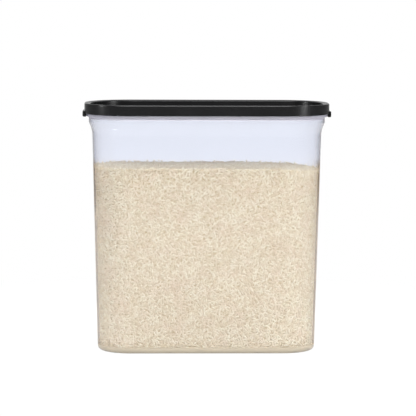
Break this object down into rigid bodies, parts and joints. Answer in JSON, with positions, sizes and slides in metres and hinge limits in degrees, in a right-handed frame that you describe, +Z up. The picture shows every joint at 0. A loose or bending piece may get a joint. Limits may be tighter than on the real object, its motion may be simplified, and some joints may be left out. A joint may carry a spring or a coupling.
{
  "type": "rice bin with flip lid",
  "caption": "Upright translucent food storage bin holding rice, with a press-on lid whose sunken panel has a hinged flap over a pouring mouth.",
  "frame": {"origin": "centre of the footprint, on the surface that the bin stands on", "axes": "+Z up, towards the lid; +X along the long side, towards the flap's free side; +Y through the depth, the shortest extent"},
  "size_m": [0.2856, 0.122, 0.285],
  "materials": {
    "bin_plastic": "satin translucent natural polypropylene",
    "seal_plastic": "satin black polyethylene",
    "flap_plastic": "satin black polypropylene",
    "rice_grain": "polished white rice grains"
  },
  "bodies": {
    "bin_body": {"bin": "bin_plastic", "rice": "rice_grain"},
    "lid_body": {"seal": "seal_plastic"},
    "flap_body": {"flap": "flap_plastic"}
  },
  "joints": [
    {"name": "lid_lift", "type": "slide", "parent": "bin_body", "child": "lid_body", "axis": [0, 0, 1], "range_m": [0, 0.1]},
    {"name": "flap_hinge", "type": "hinge", "parent": "lid_body", "child": "flap_body", "pos_m": [0.0073, 0, 0.2737], "axis": [0, -1, 0], "range_deg": [0, 180]}
  ]
}
